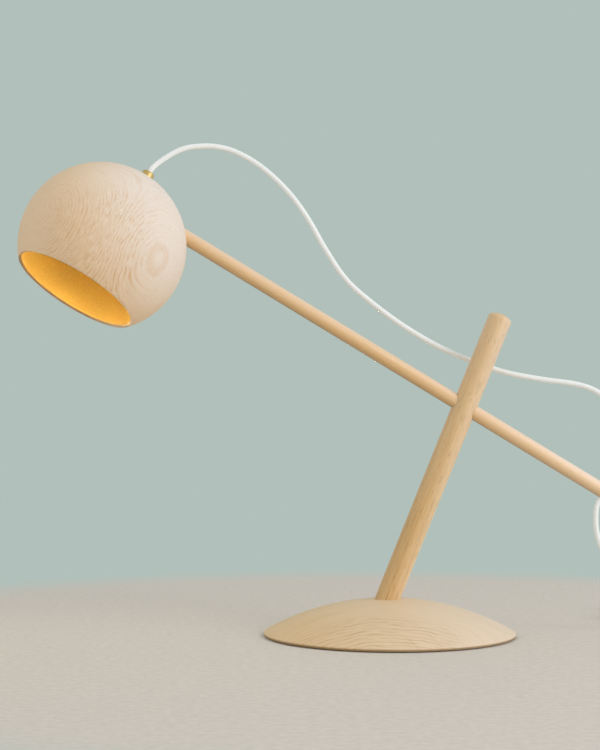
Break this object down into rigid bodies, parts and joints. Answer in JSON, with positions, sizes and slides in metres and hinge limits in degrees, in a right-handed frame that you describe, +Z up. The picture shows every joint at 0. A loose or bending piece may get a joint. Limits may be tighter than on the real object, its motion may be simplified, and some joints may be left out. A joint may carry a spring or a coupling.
{
  "type": "table lamp",
  "caption": "Wooden table lamp with a turned ball shade that swivels on a sloping arm, which slides through a leaning post on a low domed base, with cord, switch and plug.",
  "frame": {"origin": "centre of the felt foot's underside, on the table", "axes": "+X along the arm's lean towards its lower end, away from the shade; +Y to the back, away from the picture's viewer; +Z up"},
  "size_m": [0.7289, 0.3634, 0.4966],
  "materials": {
    "ash_wood": "fine-sanded ash with a clear matt oil",
    "pale_ash_wood": "turned pale ash with a clear matt oil",
    "grey_felt": "pressed felt",
    "steel": "plain zinc-plated steel",
    "brass": "satin turned brass",
    "nylon_liner": "natural nylon liner",
    "red_fibre": "vulcanised fibre",
    "white_cord": "smooth white flex",
    "white_plastic": "moulded white plastic",
    "porcelain_plastic": "glossy off-white moulding",
    "frosted_glass": "frosted lamp glass",
    "grey_strap": "woven hook-and-loop strap"
  },
  "bodies": {
    "stand": {"base": "ash_wood", "ballast_ring": "steel", "ballast_screws": "brass", "felt_foot": "grey_felt", "post": "ash_wood", "post_screw": "steel", "arm_sleeve": "nylon_liner", "cord_drop": "white_cord", "switch_base": "white_plastic", "switch_cover": "white_plastic", "switch_terminals": "brass", "switch_screws": "steel", "switch_sleeves": "white_plastic", "cord_link": "white_cord", "cord_coil": "white_cord", "coil_tie": "grey_strap", "cord_end": "white_cord", "plug_relief": "white_plastic", "plug_body": "white_plastic", "plug_pins": "steel"},
    "arm": {"arm": "ash_wood", "arm_insert": "brass", "pivot_screw": "steel", "pivot_washer": "steel", "friction_washer": "red_fibre", "cord_over": "white_cord"},
    "head": {"shade": "pale_ash_wood", "cord_gland": "brass", "gland_screw": "steel", "gland_nipple": "brass", "nipple_washer": "steel", "nipple_nut": "brass", "cord_lead": "white_cord", "holder_cap": "porcelain_plastic", "holder_insulator": "porcelain_plastic", "holder_contact": "brass", "holder_socket": "brass", "holder_sleeve": "porcelain_plastic", "bulb_tip": "brass", "bulb_cap": "steel", "bulb_collar": "white_plastic", "bulb_glass": "frosted_glass"},
    "rocker": {"switch_rocker": "white_plastic"}
  },
  "joints": [
    {"name": "arm_slide", "type": "slide", "parent": "stand", "child": "arm", "axis": [0.8545, 0, -0.5195], "range_m": [-0.06, 0.1], "deforming": ["cord_drop"]},
    {"name": "shade_turn", "type": "hinge", "parent": "arm", "child": "head", "pos_m": [-0.25815, 0, 0.43085], "axis": [0.8545, 0, -0.5195], "range_deg": [-34, 66], "deforming": ["cord_over"]},
    {"name": "rocker_tilt", "type": "hinge", "parent": "stand", "child": "rocker", "pos_m": [0.268, 0.116, 0.0106], "axis": [-1, 0, 0], "range_deg": [0, 14]}
  ]
}
